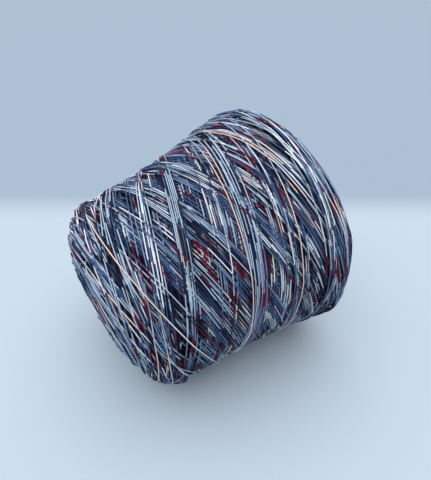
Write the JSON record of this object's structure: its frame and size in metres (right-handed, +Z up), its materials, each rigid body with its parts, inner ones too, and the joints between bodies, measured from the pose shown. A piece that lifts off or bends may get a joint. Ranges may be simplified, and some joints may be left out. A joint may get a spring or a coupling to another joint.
{
  "type": "cone of yarn",
  "caption": "Tapered package of yarn wound crosswise, with rounded shoulders and an open tapered bore, lying on its side on a small flat spot.",
  "frame": {"origin": "on the surface it rests on, under the middle of the bounding box", "axes": "+Z up, +X level from the narrow nose to the wide base, +Y sideways across the package"},
  "size_m": [0.1624, 0.1656, 0.1627],
  "materials": {
    "yarn": "matte"
  },
  "bodies": {
    "root": {"yarn_winding": "yarn"}
  },
  "joints": []
}
